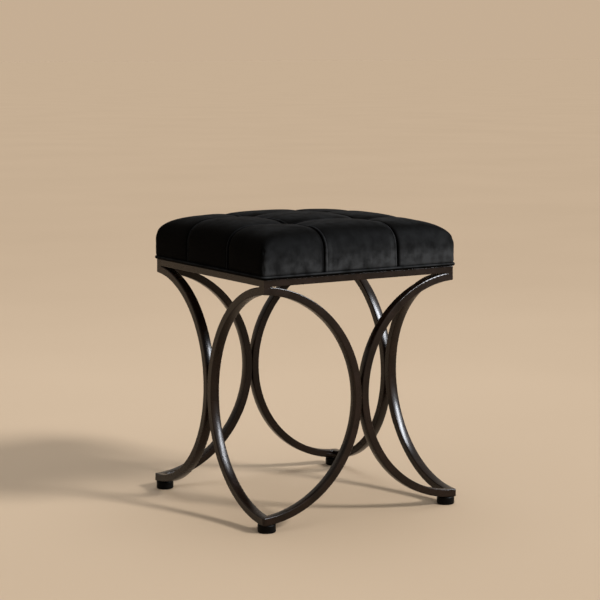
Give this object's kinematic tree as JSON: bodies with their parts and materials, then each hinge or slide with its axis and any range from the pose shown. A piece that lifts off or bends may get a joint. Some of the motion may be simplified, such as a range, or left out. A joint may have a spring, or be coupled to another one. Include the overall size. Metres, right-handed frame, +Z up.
{
  "type": "accent stool",
  "caption": "Square accent stool with a biscuit-tufted velvet seat on a welded frame of paired circular arcs, standing on levelling glides.",
  "frame": {"origin": "on the floor, under the middle of the seat", "axes": "+Z up; -Y is the front side, +X the right side; the picture looks at the front left corner"},
  "size_m": [0.3868, 0.3868, 0.4969],
  "materials": {
    "frame_metal": "satin dark bronze paint",
    "zinc_steel": "zinc plated",
    "glide_plastic": "matt black",
    "plywood": "raw plywood",
    "foam": "open cell foam",
    "velvet": "short pile velvet",
    "twine": "waxed twine",
    "dust_cloth": "non-woven cloth"
  },
  "bodies": {
    "stool": {"apron_rail_back": "frame_metal", "apron_rail_front": "frame_metal", "apron_rail_left": "frame_metal", "apron_rail_right": "frame_metal", "corner_tab_back_left": "frame_metal", "corner_tab_back_right": "frame_metal", "corner_tab_front_left": "frame_metal", "corner_tab_front_right": "frame_metal", "dust_cover": "dust_cloth", "dust_cover_staples": "zinc_steel", "foot_plate_back_left": "frame_metal", "foot_plate_back_right": "frame_metal", "foot_plate_front_left": "frame_metal", "foot_plate_front_right": "frame_metal", "leg_arc_back_left_on_back": "frame_metal", "leg_arc_back_left_on_left": "frame_metal", "leg_arc_back_right_on_back": "frame_metal", "leg_arc_back_right_on_right": "frame_metal", "leg_arc_front_left_on_front": "frame_metal", "leg_arc_front_left_on_left": "frame_metal", "leg_arc_front_right_on_front": "frame_metal", "leg_arc_front_right_on_right": "frame_metal", "seat_board": "plywood", "seat_cover": "velvet", "seat_foam": "foam", "seat_screws": "zinc_steel", "seat_washers": "zinc_steel", "seat_welt": "velvet", "tee_nuts": "zinc_steel", "thread_inserts": "zinc_steel", "tuft_ties": "twine", "tuft_washers": "zinc_steel", "waist_bead_back": "frame_metal", "waist_bead_front": "frame_metal", "waist_bead_left": "frame_metal", "waist_bead_right": "frame_metal"},
    "glide_front_left": {"glide_pad_front_left": "glide_plastic", "glide_stud_front_left": "zinc_steel"},
    "glide_front_right": {"glide_pad_front_right": "glide_plastic", "glide_stud_front_right": "zinc_steel"},
    "glide_back_right": {"glide_pad_back_right": "glide_plastic", "glide_stud_back_right": "zinc_steel"},
    "glide_back_left": {"glide_pad_back_left": "glide_plastic", "glide_stud_back_left": "zinc_steel"}
  },
  "joints": [
    {"name": "glide_front_left_screw", "type": "slide", "parent": "stool", "child": "glide_front_left", "axis": [0, 0, -1], "range_m": [0, 0.008]},
    {"name": "glide_front_right_screw", "type": "slide", "parent": "stool", "child": "glide_front_right", "axis": [0, 0, -1], "range_m": [0, 0.008]},
    {"name": "glide_back_right_screw", "type": "slide", "parent": "stool", "child": "glide_back_right", "axis": [0, 0, -1], "range_m": [0, 0.008]},
    {"name": "glide_back_left_screw", "type": "slide", "parent": "stool", "child": "glide_back_left", "axis": [0, 0, -1], "range_m": [0, 0.008]}
  ]
}
